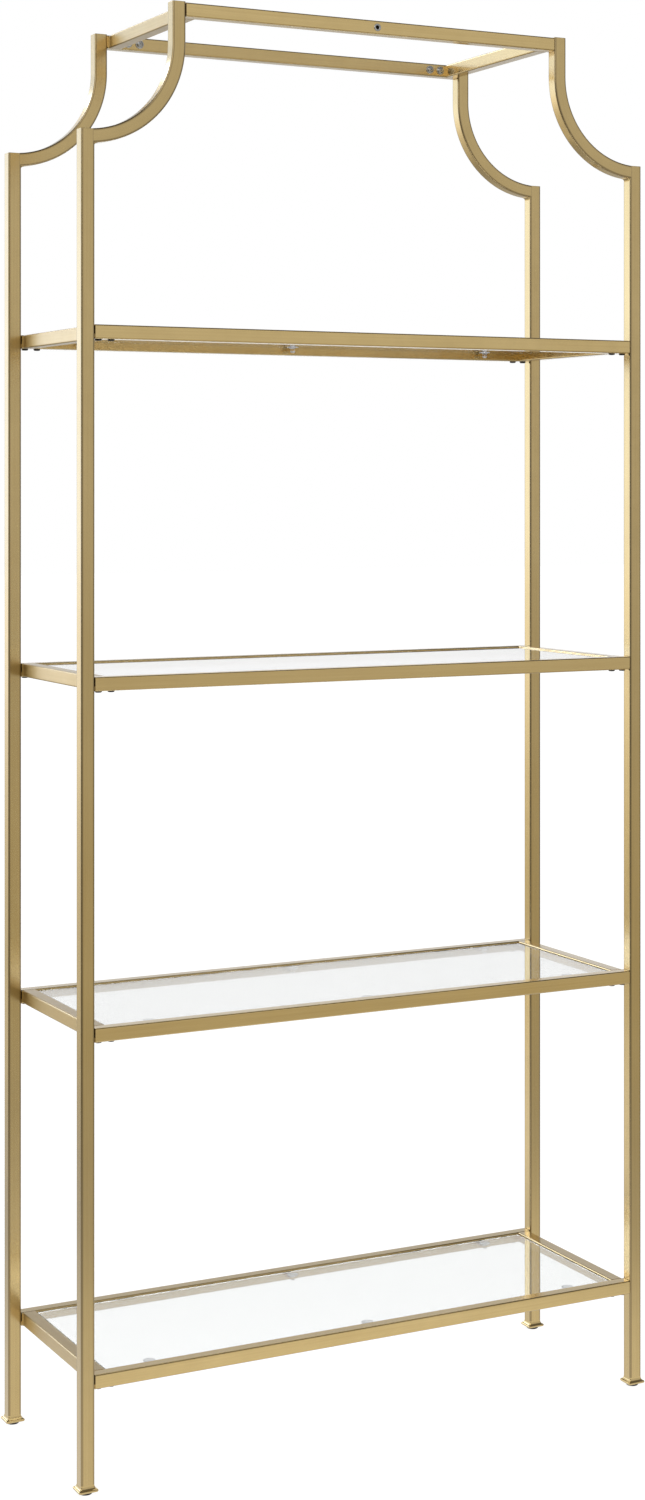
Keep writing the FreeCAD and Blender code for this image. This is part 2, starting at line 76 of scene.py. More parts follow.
class Nodes:
    """Short calls that add shader nodes to one tree and link them."""

    def __init__(self, tree):
        self.tree = tree
        tree.nodes.clear()

    def add(self, kind, **settings):
        made = self.tree.nodes.new(kind)
        for name, value in settings.items():
            setattr(made, name, value)
        return made

    def link(self, source, target):
        self.tree.links.new(source, target)

    def feed(self, target, value):
        """Links an input to a socket, or sets it to a number."""
        if isinstance(value, bpy.types.NodeSocket):
            self.link(value, target)
        else:
            target.default_value = value

    def math(self, operation, first, second=0.0):
        made = self.add("ShaderNodeMath", operation=operation)
        self.feed(made.inputs[0], first)
        self.feed(made.inputs[1], second)
        return made.outputs[0]

    def split(self, vector):
        """The sockets X, Y and Z of a vector."""
        made = self.add("ShaderNodeSeparateXYZ")
        self.link(vector, made.inputs["Vector"])
        return made.outputs

    def span(self, value, limits, start, end, ease="SMOOTHSTEP"):
        """A value mapped from between two limits to start and end, smoothly or in a straight line."""
        made = self.add("ShaderNodeMapRange", interpolation_type=ease)
        sockets = ("Value", "From Min", "From Max", "To Min", "To Max")
        for name, number in zip(sockets, (value, *limits, start, end)):
            self.feed(made.inputs[name], number)
        return made.outputs["Result"]

    def rise(self, value, limits):
        """Nought to one between two limits."""
        return self.span(value, limits, 0.0, 1.0)

    def fall(self, value, limits):
        """One to nought between two limits."""
        return self.span(value, limits, 1.0, 0.0)

    def within(self, value, limits, soft):
        """One between two limits, fading to nought beside them."""
        low, high = limits
        risen = self.rise(value, (low - soft, low))
        return self.math("MULTIPLY", risen, self.fall(value, (high, high + soft)))

    def mix(self, share, first, second):
        made = self.add("ShaderNodeMix", data_type="FLOAT")
        self.feed(made.inputs["Factor"], share)
        self.feed(made.inputs["A"], first)
        self.feed(made.inputs["B"], second)
        return made.outputs["Result"]

    def noise(self, position, scale, detail=2.0):
        made = self.add("ShaderNodeTexNoise")
        self.link(position, made.inputs["Vector"])
        made.inputs["Scale"].default_value = scale
        made.inputs["Detail"].default_value = detail
        return made.outputs["Fac"]

    def colours(self, share, limits, first, second):
        """One colour that turns into another between two limits of a share."""
        made = self.add("ShaderNodeValToRGB")
        for element, position, colour in zip(made.color_ramp.elements, limits, (first, second)):
            element.position = position
            element.color = (*colour, 1.0)
        self.link(share, made.inputs["Fac"])
        return made.outputs["Color"]


# Brightness of the studio that metal and glass reflect
HORIZON_GLOW, BACK_LEFT_GLOW = 1.62, 1.1
FAR_LEFT_GAIN = 1.7
BACK_GLOW = 0.85
BACK_RIGHT_LOW, BACK_RIGHT_HIGH = 0.92, 0.5
ROOM_GLOW = 0.59
DARK_GLOW = 0.2
CEILING_GLOW = 0.15
CARD_GLOW = 5.0
DIFFUSE_GLOW = 0.65
WHITE = (1.0, 1.0, 1.0)
COOL_WHITE = (0.78, 0.86, 1.0)

# Where the parts of the studio start or end: x, y or z of the unit vector towards them
BACK_START_Y = (0.1, 0.4)
BACK_LEFT_END_X = (-0.3, -0.1)
BACK_RIGHT_START_X = (0.1, 0.3)
ROOM_START_X = (-0.45, -0.1)
DARK_RIGHT_START_X = (0.64, 0.8)
DARK_RIGHT_END_Y = (0.2, 0.45)
FAR_LEFT_X = (-0.85, -0.56)
HORIZON_END_Z = (0.10, 0.18)
HORIZON_LIFT = 0.08
HORIZON_LIFT_X = (-0.52, -0.42)
BACK_RIGHT_Z = (0.07, 0.30)
CEILING_START_Z = (0.36, 0.6)
CARD_X, CARD_Z = (-0.44, -0.2), (0.34, 0.5)
CARD_SOFT = 0.06


def around(n, x, y, back_left, back, back_right, room):
    """Brightness by compass direction, as given but dark towards the front left and the right."""
    behind = n.mix(n.rise(x, BACK_LEFT_END_X), back_left, back)
    behind = n.mix(n.rise(x, BACK_RIGHT_START_X), behind, back_right)
    ahead = n.span(x, ROOM_START_X, DARK_GLOW, room)
    seen = n.mix(n.rise(y, BACK_START_Y), ahead, behind)
    right = n.math("MULTIPLY", n.rise(x, DARK_RIGHT_START_X), n.fall(y, DARK_RIGHT_END_Y))
    return n.mix(right, seen, DARK_GLOW)


def clear_rays(n, path):
    """One where the camera looks, straight or through glass."""
    return n.math("MAXIMUM", path["Is Camera Ray"], path["Is Transmission Ray"])


def tint(n, share, colour, clear):
    """White that takes on a colour by a share, but not where the camera looks."""
    hidden = n.math("SUBTRACT", 1.0, clear)
    return n.colours(n.math("MULTIPLY", share, hidden), (0.0, 1.0), WHITE, colour)


def add_world():
    """White behind the object, and a studio that gets darker overhead and at the sides."""
    world = bpy.data.worlds.new("studio")
    world.use_nodes = True
    bpy.context.scene.world = world
    n = Nodes(world.node_tree)
    path = n.add("ShaderNodeLightPath").outputs
    x, y, z = n.split(n.add("ShaderNodeTexCoord").outputs["Generated"])
    height = n.math("ADD", z, n.span(x, HORIZON_LIFT_X, -HORIZON_LIFT, 0.0))
    back_left = n.span(height, HORIZON_END_Z, HORIZON_GLOW, BACK_LEFT_GLOW)
    back_left = n.math("MULTIPLY", back_left, n.span(x, FAR_LEFT_X, FAR_LEFT_GAIN, 1.0))
    back_right = n.span(z, BACK_RIGHT_Z, BACK_RIGHT_LOW, BACK_RIGHT_HIGH, "LINEAR")
    walls = around(n, x, y, back_left, BACK_GLOW, back_right, ROOM_GLOW)
    overhead = n.mix(n.rise(z, CEILING_START_Z), walls, CEILING_GLOW)
    behind = n.rise(y, BACK_START_Y)
    card = n.math("MULTIPLY", n.within(x, CARD_X, CARD_SOFT), n.within(z, CARD_Z, CARD_SOFT))
    glossy = n.mix(n.math("MULTIPLY", card, behind), overhead, CARD_GLOW)
    lit = n.mix(path["Is Glossy Ray"], DIFFUSE_GLOW, glossy)
    clear = clear_rays(n, path)
    cool = n.math("MULTIPLY", n.fall(x, BACK_LEFT_END_X), behind)
    background = n.add("ShaderNodeBackground")
    n.link(tint(n, cool, COOL_WHITE, clear), background.inputs["Color"])
    n.link(n.mix(clear, lit, 1.0), background.inputs["Strength"])
    n.link(background.outputs[0], n.add("ShaderNodeOutputWorld").inputs["Surface"])


# Floor brightness that metal and glass reflect, from under the object outwards
FLOOR_NEAR, FLOOR_MIDDLE = 0.74, 0.45
FLOOR_LEFT, FLOOR_LEFT_FAR = 0.47, 1.2
FLOOR_RIGHT, FLOOR_RIGHT_FAR = 0.45, 1.3
FLOOR_FRONT, FLOOR_BACK = 0.48, 0.35
FLOOR_CARD = 0.92
FLOOR_WARM = (1.0, 0.94, 0.78)

# Where the parts of the floor start or end, in metres from the middle of the object
FLOOR_SIZE = 60.0
NEAR_END = (0.4, 1.4)
OPEN_START = (1.3, 2.8)
LEFT_FADE = (1.5, 14.0)
RIGHT_FADE = (12.0, 22.0)
WARM_END = (3.0, 14.0)
FLOOR_CARD_SIDES, FLOOR_CARD_SIDE_SOFT = (-0.2, 0.3), 0.11
FLOOR_CARD_ENDS, FLOOR_CARD_END_SOFT = (0.9, 2.9), 0.3
FLOOR_CARD_SLANT = 0.36

# The floor to the camera: its own colour, and the share and strength of the white over it
FLOOR_SHADE = 0.80
GLOW_SHARE = 0.72
FLOOR_WHITE, FLOOR_THROUGH = 1.30, 1.38


def floor_glow(n, place):
    """How bright and how warm the floor is to metal and glass."""
    away = n.add("ShaderNodeVectorMath", operation="LENGTH")
    n.link(place, away.inputs[0])
    distance = away.outputs["Value"]
    heading = n.add("ShaderNodeVectorMath", operation="NORMALIZE")
    n.link(place, heading.inputs[0])
    towards = n.split(heading.outputs[0])
    left = n.span(distance, LEFT_FADE, FLOOR_LEFT, FLOOR_LEFT_FAR, "LINEAR")
    right = n.span(distance, RIGHT_FADE, FLOOR_RIGHT, FLOOR_RIGHT_FAR)
    outer = around(n, towards["X"], towards["Y"], left, FLOOR_BACK, right, FLOOR_FRONT)
    near = n.span(distance, NEAR_END, FLOOR_NEAR, FLOOR_MIDDLE)
    open_share = n.rise(distance, OPEN_START)
    bright = n.mix(open_share, near, outer)
    spot = n.split(place)
    slant = n.math("ADD", spot["X"], n.math("MULTIPLY", spot["Y"], FLOOR_CARD_SLANT))
    sides = n.within(slant, FLOOR_CARD_SIDES, FLOOR_CARD_SIDE_SOFT)
    ends = n.within(spot["Y"], FLOOR_CARD_ENDS, FLOOR_CARD_END_SOFT)
    bright = n.mix(n.math("MULTIPLY", sides, ends), bright, FLOOR_CARD)
    warm = n.math("MULTIPLY", open_share, n.fall(distance, WARM_END))
    return bright, warm


def floor_material():
    """White to the camera but for a soft shadow, and a glow of its own to metal and glass."""
    material = bpy.data.materials.new("pale_floor")
    material.use_nodes = True
    n = Nodes(material.node_tree)
    path = n.add("ShaderNodeLightPath").outputs
    clear = clear_rays(n, path)
    bright, warm = floor_glow(n, n.add("ShaderNodeNewGeometry").outputs["Position"])
    glow = n.add("ShaderNodeEmission")
    n.link(tint(n, warm, FLOOR_WARM, clear), glow.inputs["Color"])
    through = n.mix(path["Is Transmission Ray"], bright, FLOOR_THROUGH)
    n.link(n.mix(path["Is Camera Ray"], through, FLOOR_WHITE), glow.inputs["Strength"])
    pale = n.add("ShaderNodeBsdfDiffuse")
    pale.inputs["Color"].default_value = (FLOOR_SHADE, FLOOR_SHADE, FLOOR_SHADE, 1.0)
    faint = n.add("ShaderNodeMixShader")
    shown = n.math("MULTIPLY", clear, GLOW_SHARE)
    n.link(n.math("MAXIMUM", shown, path["Is Glossy Ray"]), faint.inputs["Fac"])
    n.link(pale.outputs[0], faint.inputs[1])
    n.link(glow.outputs[0], faint.inputs[2])
    n.link(faint.outputs[0], n.add("ShaderNodeOutputMaterial").inputs["Surface"])
    return material


def add_floor():
    """A wide level floor."""
    half = FLOOR_SIZE / 2
    corners = [(-half, -half, 0), (half, -half, 0), (half, half, 0), (-half, half, 0)]
    mesh = bpy.data.meshes.new("floor")
    mesh.from_pydata(corners, [], [(0, 1, 2, 3)])
    mesh.materials.append(floor_material())
    floor = bpy.data.objects.new("floor", mesh)
    bpy.context.scene.collection.objects.link(floor)


# Lamp, in metres and watts
LAMP_PLACE = (-2.6, -2.4, 3.6)
LAMP_AIM = (0.0, 0.0, 0.9)
LAMP_SIZE = 3.4
LAMP_POWER = 45.0


def add_lamp():
    """A soft square lamp, high up to the left of the camera, that faces the middle of the object."""
    data = bpy.data.lights.new("softbox", "AREA")
    data.shape = "SQUARE"
    data.size = LAMP_SIZE
    data.energy = LAMP_POWER
    lamp = bpy.data.objects.new("softbox", data)
    lamp.location = LAMP_PLACE
    aim = Vector(LAMP_AIM) - Vector(LAMP_PLACE)
    lamp.rotation_euler = aim.to_track_quat("-Z", "Y").to_euler()
    bpy.context.scene.collection.objects.link(lamp)


# Limits that hold most of a noise's values
NOISE_SPREAD = (0.3, 0.7)


def new_material(name, inputs):
    """A material of one principled shader with some inputs set, and the coordinates for its noise."""
    material = bpy.data.materials.new(name)
    material.use_nodes = True
    n = Nodes(material.node_tree)
    shader = n.add("ShaderNodeBsdfPrincipled")
    for socket, value in inputs.items():
        shader.inputs[socket].default_value = value
    n.link(shader.outputs["BSDF"], n.add("ShaderNodeOutputMaterial").inputs["Surface"])
    place = n.add("ShaderNodeTexCoord").outputs["Object"]
    return material, n, shader, place


def mottle(n, shader, place, scale, dark, pale, detail=2.0):
    """Gives a shader a colour that wanders between two tones."""
    tone = n.colours(n.noise(place, scale, detail), NOISE_SPREAD, dark, pale)
    n.link(tone, shader.inputs["Base Color"])


def roughen(n, shader, place, scale, low, high):
    """Gives a shader a roughness that wanders between two values."""
    n.link(n.span(n.noise(place, scale), NOISE_SPREAD, low, high), shader.inputs["Roughness"])


# Gold plate under lacquer: tones with a painted dark reflection for the edges, grain across and along a
# tube, clouds, roughness, and gains of painted light and shade
GOLD_DARK, GOLD_PALE, GOLD_EDGE_SHADE = (0.68, 0.49, 0.19), (0.76, 0.56, 0.233), (0.42, 0.30, 0.12)
TONE_SPREAD = (0.34, 0.66)
GRAIN_FINE, GRAIN_LONG = 420.0, 5.0
CLOUD_SCALE, CLOUD_DETAIL, CLOUD_SHARE = 7.0, 3.0, 0.55
COAT_IOR, COAT_ROUGHNESS_SHARE = 1.6, 0.7
POLISHED_ROUGHNESS = (0.09, 0.13)
TUBE_ROUGHNESS = (0.20, 0.26)
LEFT_ROUGHNESS = (0.36, 0.42)
# Gains of painted light and shade: the front rails painted lighter, the top left rail darker
FRONT_RAIL_LIGHT_GAIN, TOP_LEFT_SHADE_GAIN = 1.18, 0.85

# Distance from a rail's middle, in metres, where its gold turns into the painted dark reflection of the
# edge, and its digits
EDGE_START = (0.0074, 0.0088)
MIDDLE_DIGITS = 5


def gold_shader(name, roughness):
    """Lacquered metal that still lacks its colour."""
    low, high = roughness
    material, n, shader, place = new_material(name, {
        "Metallic": 1.0, "Coat Weight": 1.0, "Coat IOR": COAT_IOR,
        "Coat Roughness": low * COAT_ROUGHNESS_SHARE,
    })
    roughen(n, shader, place, scale=60.0, low=low, high=high)
    return material, n, shader, place


def plain_gold():
    """Polished gold plate for cast and hidden pieces, slightly cloudy."""
    material, n, shader, place = gold_shader("polished_gold", POLISHED_ROUGHNESS)
    mottle(n, shader, place, scale=30.0, dark=GOLD_DARK, pale=GOLD_PALE, detail=3.0)
    return material


def finish_tube(n, shader, place, grain, edge, light_gain=1.0):
    """Gold brushed along a tube, in soft clouds, with a painted dark reflection at its edges, and tones
    scaled by a gain that paints light and shade.
    """
    cloud = n.math("MULTIPLY", n.noise(place, CLOUD_SCALE, CLOUD_DETAIL), CLOUD_SHARE)
    streak = n.math("MULTIPLY", n.noise(grain, 1.0), 1.0 - CLOUD_SHARE)
    # The gain paints light and shade: lighter tones on the front rails, darker on the top left rail
    dark, pale = ([channel * light_gain for channel in colour] for colour in (GOLD_DARK, GOLD_PALE))
    # The edge mark mixes in a painted dark reflection along the rounded edges
    edge_shade = n.add("ShaderNodeMix", data_type="RGBA")
    n.link(edge, edge_shade.inputs["Factor"])
    n.link(n.colours(n.math("ADD", cloud, streak), TONE_SPREAD, dark, pale), edge_shade.inputs["A"])
    edge_shade.inputs["B"].default_value = (*GOLD_EDGE_SHADE, 1.0)
    n.link(edge_shade.outputs["Result"], shader.inputs["Base Color"])


def leg_gold():
    """Tube gold that follows a bent tube by the marks on its mesh."""
    material, n, shader, place = gold_shader("satin_gold_leg", TUBE_ROUGHNESS)
    across = n.add("ShaderNodeAttribute", attribute_name="across").outputs["Fac"]
    edge = n.add("ShaderNodeAttribute", attribute_name="edge").outputs["Fac"]
    grain = n.add("ShaderNodeCombineXYZ")
    n.link(n.math("MULTIPLY", across, GRAIN_FINE), grain.inputs["X"])
    n.link(n.math("MULTIPLY", n.split(place)["Z"], GRAIN_LONG), grain.inputs["Y"])
    finish_tube(n, shader, place, grain.outputs["Vector"], edge)
    return material


def nearest(n, value, places):
    """How far a coordinate lies from the nearest of some places."""
    gap = None
    for place in places:
        own = n.math("ABSOLUTE", n.math("SUBTRACT", value, place))
        gap = own if gap is None else n.math("MINIMUM", gap, own)
    return gap


def rail_gold(name, nodes, along, across, roughness, light_gain):
    """Tube gold for straight rails that run along one axis, with their middles from the nodes' boxes."""
    material, n, shader, place = gold_shader(name, roughness)
    spot = n.split(place)
    stretch = n.add("ShaderNodeVectorMath", operation="MULTIPLY")
    n.link(place, stretch.inputs[0])
    stretch.inputs[1].default_value = [GRAIN_LONG if axis == along else GRAIN_FINE for axis in "XYZ"]
    middles = [middle(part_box(node)) for node in nodes]
    sides = sorted({round(abs(getattr(centre, across.lower())), MIDDLE_DIGITS) for centre in middles})
    heights = sorted({round(centre.z, MIDDLE_DIGITS) for centre in middles})
    side_gap = nearest(n, n.math("ABSOLUTE", spot[across]), sides)
    gap = n.math("MINIMUM", side_gap, nearest(n, spot["Z"], heights))
    finish_tube(n, shader, place, stretch.outputs["Vector"], n.rise(gap, EDGE_START), light_gain)
    return material


def clear_glass():
    material, n, shader, place = new_material("clear_glass", {
        "Base Color": (0.97, 0.985, 0.98, 1.0), "Transmission Weight": 0.92, "IOR": 1.5,
        "Coat Weight": 1.0, "Coat Roughness": 0.0,
    })
    roughen(n, shader, place, scale=30.0, low=0.0, high=0.02)
    return material


def clear_vinyl():
    material, n, shader, place = new_material("clear_vinyl", {"Transmission Weight": 0.55, "IOR": 1.25})
    mottle(n, shader, place, scale=200.0, dark=(0.93, 0.93, 0.96), pale=(0.97, 0.97, 0.99))
    roughen(n, shader, place, scale=200.0, low=0.3, high=0.45)
    return material


def black_plastic():
    material, n, shader, place = new_material("black_plastic", {"Specular IOR Level": 0.25})
    mottle(n, shader, place, scale=120.0, dark=(0.006, 0.005, 0.005), pale=(0.014, 0.012, 0.011))
    roughen(n, shader, place, scale=300.0, low=0.35, high=0.5)
    return material


def dark_steel():
    material, n, shader, place = new_material("dark_steel", {"Metallic": 1.0})
    mottle(n, shader, place, scale=400.0, dark=(0.05, 0.045, 0.04), pale=(0.11, 0.10, 0.09))
    roughen(n, shader, place, scale=600.0, low=0.3, high=0.45)
    return material


def zinc_steel():
    material, n, shader, place = new_material("zinc_steel", {"Metallic": 1.0})
    mottle(n, shader, place, scale=300.0, dark=(0.42, 0.42, 0.41), pale=(0.60, 0.60, 0.58))
    roughen(n, shader, place, scale=500.0, low=0.2, high=0.35)
    return material


# Facets, the angle in degrees under which an edge is shaded smooth, and the distance that merges points
CORNER_STEPS = 6
RIM_STEPS = 3
ARCH_STEPS = 30
COVE_STEPS = 8
TURN_STEPS = 24
SMOOTH_ANGLE = 38
MERGE_DISTANCE = 1e-6

# Square tube, in metres: its wall, corner and rim, and how far the painted dark reflection of the edge fades
# into a flat
TUBE_WALL = 0.0012
TUBE_CORNER = 0.002
RIM_ROUND = 0.0005
EDGE_FADE = 0.0011


class Shape:
    """The points and faces of one piece, collected from closed skins."""

    def __init__(self):
        self.points = []
        self.faces = []
        self.marks = []

    def skin(self, rings, looped=False, marks=None):
        """Joins rings of equal count, and closes both ends or, if looped, the last ring to the first."""
        count = len(rings[0])
        start = len(self.points)
        for ring in rings:
            self.points.extend(ring)
            self.marks.extend(marks or [(0.0, 0.0)] * count)
        for row in range(len(rings) if looped else len(rings) - 1):
            low = start + row * count
            high = start + (row + 1) % len(rings) * count
            for first in range(count):
                second = (first + 1) % count
                self.faces.append((low + first, low + second, high + second, high + first))
        if not looped:
            last = len(self.points) - count
            self.faces.append(tuple(range(start, start + count)))
            self.faces.append(tuple(range(last, last + count)))

    def turned(self, outline, place, axis=(0, 0, 1), looped=False):
        """Adds a turned form, from radii and heights along an axis."""
        rings = [circle_ring(radius, height) for radius, height in outline]
        self.skin(set_rings(rings, place, axis), looped)


def rounded(half_x, half_y, corner):
    """Points round a rectangle with rounded corners."""
    points = []
    for turn, (side_x, side_y) in enumerate(((1, 1), (-1, 1), (-1, -1), (1, -1))):
        for step in range(CORNER_STEPS + 1):
            angle = math.pi / 2 * (turn + step / CORNER_STEPS)
            x = side_x * (half_x - corner) + corner * math.cos(angle)
            y = side_y * (half_y - corner) + corner * math.sin(angle)
            points.append((x, y))
    return points


def tube_section(half, corner):
    """Points round a square tube, with one on each side of a corner where the painted dark edge reflection
    has faded out.
    """
    points = []
    arcs = rounded(half, half, corner)
    count = CORNER_STEPS + 1
    flat = half - corner - EDGE_FADE
    beside = (((half, flat), (flat, half)), ((-flat, half), (-half, flat)),
              ((-half, -flat), (-flat, -half)), ((flat, -half), (half, -flat)))
    for turn, (before, after) in enumerate(beside):
        points += [before, *arcs[turn * count:(turn + 1) * count], after]
    return points


def tube_marks(half):
    """How near the edge, and how far round the tube, each point of a tube section is."""
    points = tube_section(half, TUBE_CORNER)
    count = len(points) // 4
    marks = []
    run = 0.0
    for index, (x, y) in enumerate(points):
        beside = index % count in (0, count - 1)
        marks.append((0.0 if beside else 1.0, run))
        after = points[(index + 1) % len(points)]
        run += math.hypot(after[0] - x, after[1] - y)
    return marks


def level(points, centre, z):
    """The points of a section at one height, round a centre."""
    return [(centre[0] + x, centre[1] + y, z) for x, y in points]


def circle_ring(radius, height):
    """Points round a circle about the Z axis."""
    angles = [2 * math.pi * step / TURN_STEPS for step in range(TURN_STEPS)]
    return [Vector((radius * math.cos(a), radius * math.sin(a), height)) for a in angles]


def hexagon_ring(half_across, height):
    """As many points as a circle has, round a hexagon with this half width across its flats."""
    ring = []
    for point in circle_ring(1.0, height):
        angle = math.atan2(point.y, point.x) % (math.pi / 3) - math.pi / 6
        reach = half_across / math.cos(angle)
        ring.append(Vector((point.x * reach, point.y * reach, height)))
    return ring


def set_rings(rings, place, axis):
    """Rings turned from +Z to the given axis and moved to their place."""
    turn = Vector((0, 0, 1)).rotation_difference(Vector(axis))
    return [[Vector(place) + turn @ point for point in ring] for ring in rings]


def quarter(steps):
    """Angles from nought to a right angle."""
    return [math.pi / 2 * step / steps for step in range(steps + 1)]


def middle(box):
    low, high = box
    return (low + high) / 2


def half_width(box):
    low, high = box
    return (high.x - low.x) / 2


def solids(node):
    """The box of each separate solid in a node."""
    copy = bmesh.new()
    copy.from_mesh(frame["nodes"][node].data)
    bmesh.ops.remove_doubles(copy, verts=copy.verts, dist=MERGE_DISTANCE)
    seen = set()
    boxes = []
    for first in copy.verts:
        if first in seen:
            continue
        seen.add(first)
        front = [first]
        found = []
        while front:
            vertex = front.pop()
            found.append(vertex.co)
            for edge in vertex.link_edges:
                other = edge.other_vert(vertex)
                if other not in seen:
                    seen.add(other)
                    front.append(other)
        low = Vector([min(point[axis] for point in found) for axis in range(3)])
        high = Vector([max(point[axis] for point in found) for axis in range(3)])
        boxes.append((low, high))
    copy.free()
    return boxes


def add_piece(name, shape, finish, nodes, body="frame"):
    """Makes a smooth-shaded object of a shape, which stands for some nodes and moves with their body."""
    mesh = bpy.data.meshes.new(name)
    mesh.from_pydata([tuple(point) for point in shape.points], [], shape.faces)
    editable = bmesh.new()
    editable.from_mesh(mesh)
    bmesh.ops.recalc_face_normals(editable, faces=editable.faces)
    editable.to_mesh(mesh)
    editable.free()
    for mark, values in zip(("edge", "across"), zip(*shape.marks)):
        mesh.attributes.new(mark, "FLOAT", "POINT").data.foreach_set("value", values)
    mesh.shade_smooth()
    mesh.set_sharp_from_angle(angle=math.radians(SMOOTH_ANGLE))
    mesh.materials.append(finish)
    piece = bpy.data.objects.new(name, mesh)
    bpy.context.scene.collection.objects.link(piece)
    even = piece.modifiers.new("even_light", "WEIGHTED_NORMAL")
    even.keep_sharp = True
    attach(piece, body)
    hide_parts(*nodes)
    return piece


# Legs, in metres: the arch's middle line, its centre inside the post's outer face, and the weld bead
ARCH_RADIUS = 0.125
ARCH_INSET = 0.007
WELD_SIZE = 0.0045

# Turn of an arch from its root to its first full ring, in radians
ROOT_TURN = 0.5 / ARCH_STEPS

# Half of the bead: how far out from its middle, as a share of the tube's flat, and how thick there
WELD_SHARES = ((0.9, 1.0), (1.06, 0.7), (1.12, 0.3))


def rim(top):
    """Heights under the top of a tube, and how far its rounded rim draws in there."""
    return [(top - RIM_ROUND * (1 - math.sin(a)), RIM_ROUND * (1 - math.cos(a))) for a in quarter(RIM_STEPS)]


def add_post(shape, box, half):
    """An upright square tube with a rounded upper rim."""
    low, high = box
    centre = middle(box)
    outer = tube_section(half, TUBE_CORNER)
    inner = tube_section(half - TUBE_WALL, TUBE_CORNER - TUBE_WALL)
    rings = [level(outer, centre, low.z)]
    for z, inset in rim(high.z):
        rings.append(level(tube_section(half - inset, TUBE_CORNER - inset), centre, z))
    rings += [level(inner, centre, high.z), level(inner, centre, low.z)]
    shape.skin(rings, looped=True, marks=tube_marks(half))


def add_arch(shape, post_box, top, half, toward):
    """A quarter-round tube that grows out of the post's flat faces and ends in an upright."""
    low, high = post_box
    centre_y = middle(post_box).y
    outside, inside = (low.x, high.x) if toward > 0 else (high.x, low.x)
    centre_x = outside + toward * ARCH_INSET
    centre_z = high.z + ARCH_RADIUS - half
    root = abs(inside - centre_x) - TUBE_CORNER
    first = math.asin(root / (ARCH_RADIUS - half)) + ROOT_TURN
    angles = [first + (math.pi / 2 - first) * step / ARCH_STEPS for step in range(ARCH_STEPS + 1)]
    skins = []
    for wall, ends in ((0.0, rim(top)), (TUBE_WALL, [(top, 0.0)])):
        section = tube_section(half - wall, TUBE_CORNER - wall)
        turns = [[math.asin(root / (ARCH_RADIUS + u)) for u, _ in section]]
        turns += [[angle] * len(section) for angle in angles]
        rings = []
        for turn in turns:
            ring = []
            for (u, v), angle in zip(section, turn):
                reach = ARCH_RADIUS + u
                x = centre_x + toward * reach * math.sin(angle)
                ring.append((x, centre_y + v, centre_z - reach * math.cos(angle)))
            rings.append(ring)
        for z, inset in ends:
            drawn = tube_section(half - wall - inset, TUBE_CORNER - wall - inset)
            rings.append([(centre_x + toward * (ARCH_RADIUS + u), centre_y + v, z) for u, v in drawn])
        skins.append(rings)
    outer, inner = skins
    shape.skin(outer + inner[::-1], looped=True, marks=tube_marks(half))
    return centre_x, centre_z, inside


def add_weld(shape, corner, centre_y, half, toward):
    """A hollow bead in the corner under the arch, thinning towards its ends."""
    x, z = corner
    sunk = TUBE_WALL / 2
    outline = [(WELD_SIZE * (1 - math.cos(a)), -WELD_SIZE * (1 - math.sin(a))) for a in quarter(COVE_STEPS)]
    outline += [(WELD_SIZE, sunk), (-sunk, sunk), (-sunk, -WELD_SIZE)]
    reach = half - TUBE_CORNER
    rings = []
    mirrored = [(-along, swell) for along, swell in reversed(WELD_SHARES)]
    for along, swell in [*mirrored, *WELD_SHARES]:
        rings.append([(x + toward * swell * u, centre_y + along * reach, z + swell * v) for u, v in outline])
    shape.skin(rings)


def add_legs(finish):
    """Each leg is one welded and ground piece: the post, its arch and the bead between them."""
    for corner in CORNERS:
        post_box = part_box("post_" + corner)
        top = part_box("arch_" + corner)[1].z
        half = half_width(post_box)
        toward = 1 if corner.endswith("left") else -1
        shape = Shape()
        add_post(shape, post_box, half)
        centre_x, centre_z, inside = add_arch(shape, post_box, top, half, toward)
        under = centre_z - math.sqrt((ARCH_RADIUS + half) ** 2 - (inside - centre_x) ** 2)
        add_weld(shape, (inside, under), middle(post_box).y, half, toward)
        add_piece("leg_" + corner, shape, finish, ["post_" + corner, "arch_" + corner])


# Feet, in metres: the rolled lip, and the room round the spigot inside the post
LIP_HEIGHT = 0.0034
LIP_ROLL = 0.0013
SPIGOT_GAP = 0.00024


def add_feet(finish):
    """Cast feet: a rolled lip, a cove that runs up into the post, and a spigot inside it."""
    for corner in CORNERS:
        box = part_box("foot_" + corner)
        post_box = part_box("post_" + corner)
        low, high = box
        post_low = post_box[0].z
        half = half_width(box)
        post_half = half_width(post_box)
        lip_top = low.z + LIP_HEIGHT
        outline = []
        for step in range(COVE_STEPS + 1):
            angle = math.pi * (step / COVE_STEPS - 0.5)
            draw = LIP_ROLL * (1 - math.cos(angle))
            outline.append((half - draw, low.z + LIP_HEIGHT / 2 * (1 + math.sin(angle))))
        run = half - LIP_ROLL - post_half
        for angle in quarter(COVE_STEPS)[1:]:
            reach = post_half + run * (1 - math.sin(angle))
            outline.append((reach, lip_top + (post_low - lip_top) * (1 - math.cos(angle))))
        spigot = post_half - TUBE_WALL - SPIGOT_GAP
        outline += [(spigot, post_low), (spigot, high.z)]
        centre = middle(box)
        shape = Shape()
        shape.skin([level(rounded(reach, reach, TUBE_CORNER), centre, z) for reach, z in outline])
        add_piece("cast_foot_" + corner, shape, finish, ["foot_" + corner])


# Levelling pads, in metres: radii and heights of the pad, and the stem with its thread
PAD_OUTLINE = [
    (0.0068, 0.0), (0.0079, 0.0003), (0.0085, 0.0010), (0.0085, 0.0029), (0.0080, 0.0036), (0.0072, 0.0040),
]
STEM_RADIUS = 0.003
THREAD_PITCH = 0.001
THREAD_DEPTH = 0.0005
GROOVE_SHARE, CREST_SHARE = 0.25, 0.6


